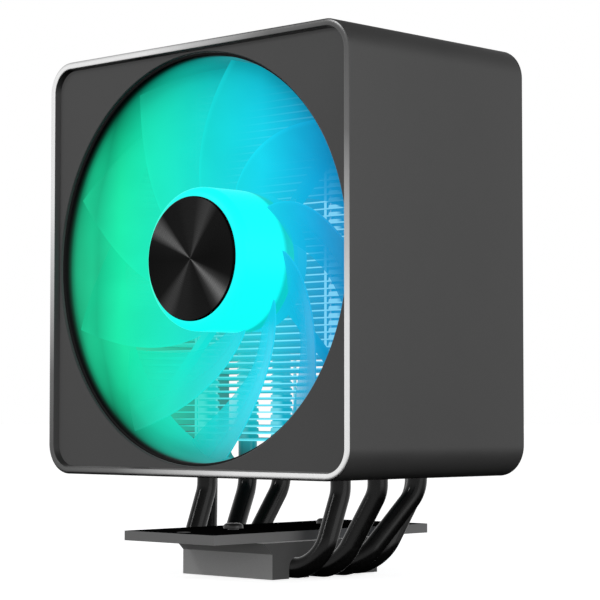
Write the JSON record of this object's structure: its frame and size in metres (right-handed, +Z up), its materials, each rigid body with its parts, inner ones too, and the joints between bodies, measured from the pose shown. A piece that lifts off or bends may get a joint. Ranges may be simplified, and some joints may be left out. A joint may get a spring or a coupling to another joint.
{
  "type": "cpu tower cooler",
  "caption": "Tower cooler for a processor: a fin stack on U-shaped heat pipes and a flat base, inside a square metal shroud, with a lit frosted fan behind a round front opening.",
  "frame": {"origin": "middle of the bounding box at the height of the cold plate's contact face, which is under the middle of the shroud's footprint", "axes": "+X to the right and +Y to the rear as seen from the fan side, so the fan blows towards +Y; +Z up along the heat pipes' legs"},
  "size_m": [0.1256, 0.0912, 0.1552],
  "materials": {
    "black_metal": "fine matt black coat, with a polished front rim on the shroud",
    "panel_grey": "satin dark grey",
    "black_plastic": "satin",
    "rubber": "matt",
    "frosted": "frosted translucent, lit from the hub",
    "spun_metal": "black, turned in fine circles",
    "steel": "plain",
    "screw_steel": "blackened",
    "ferrite": "bonded ferrite",
    "brass": "sintered",
    "copper": "enamelled winding wire",
    "board": "circuit board",
    "fin_black": "black coated sheet",
    "pipe_black": "glossy black coat on copper",
    "base_grey": "dark matt coat, contact face milled"
  },
  "bodies": {
    "cooler": {"base_block": "base_grey", "bearing_sleeve": "brass", "bracket_screw_bottom_left": "screw_steel", "bracket_screw_bottom_right": "screw_steel", "bracket_screw_top_left": "screw_steel", "bracket_screw_top_right": "screw_steel", "fan_circuit_board": "board", "fan_frame": "black_plastic", "fan_pad_1": "rubber", "fan_pad_2": "rubber", "fan_pad_3": "rubber", "fan_pad_4": "rubber", "fan_screw_1": "screw_steel", "fan_screw_2": "screw_steel", "fan_screw_3": "screw_steel", "fan_screw_4": "screw_steel", "fin_stack": "fin_black", "front_panel": "panel_grey", "heat_pipe_1": "pipe_black", "heat_pipe_2": "pipe_black", "heat_pipe_3": "pipe_black", "heat_pipe_4": "pipe_black", "mounting_plate": "black_metal", "plate_screw_front": "screw_steel", "plate_screw_rear": "screw_steel", "shroud_shell": "black_metal", "stack_bracket_bottom": "black_metal", "stack_bracket_top": "black_metal", "stator_coil_1": "copper", "stator_coil_2": "copper", "stator_coil_3": "copper", "stator_coil_4": "copper", "stator_core": "steel"},
    "rotor": {"fan_rotor": "frosted", "hub_cap": "spun_metal", "rotor_yoke": "steel", "magnet_ring": "ferrite", "rotor_shaft": "steel", "shaft_clip": "steel"}
  },
  "joints": [
    {"name": "fan_spin", "type": "hinge", "parent": "cooler", "child": "rotor", "pos_m": [0, -0.025, 0.0922], "axis": [0, -1, 0], "continuous": true}
  ]
}
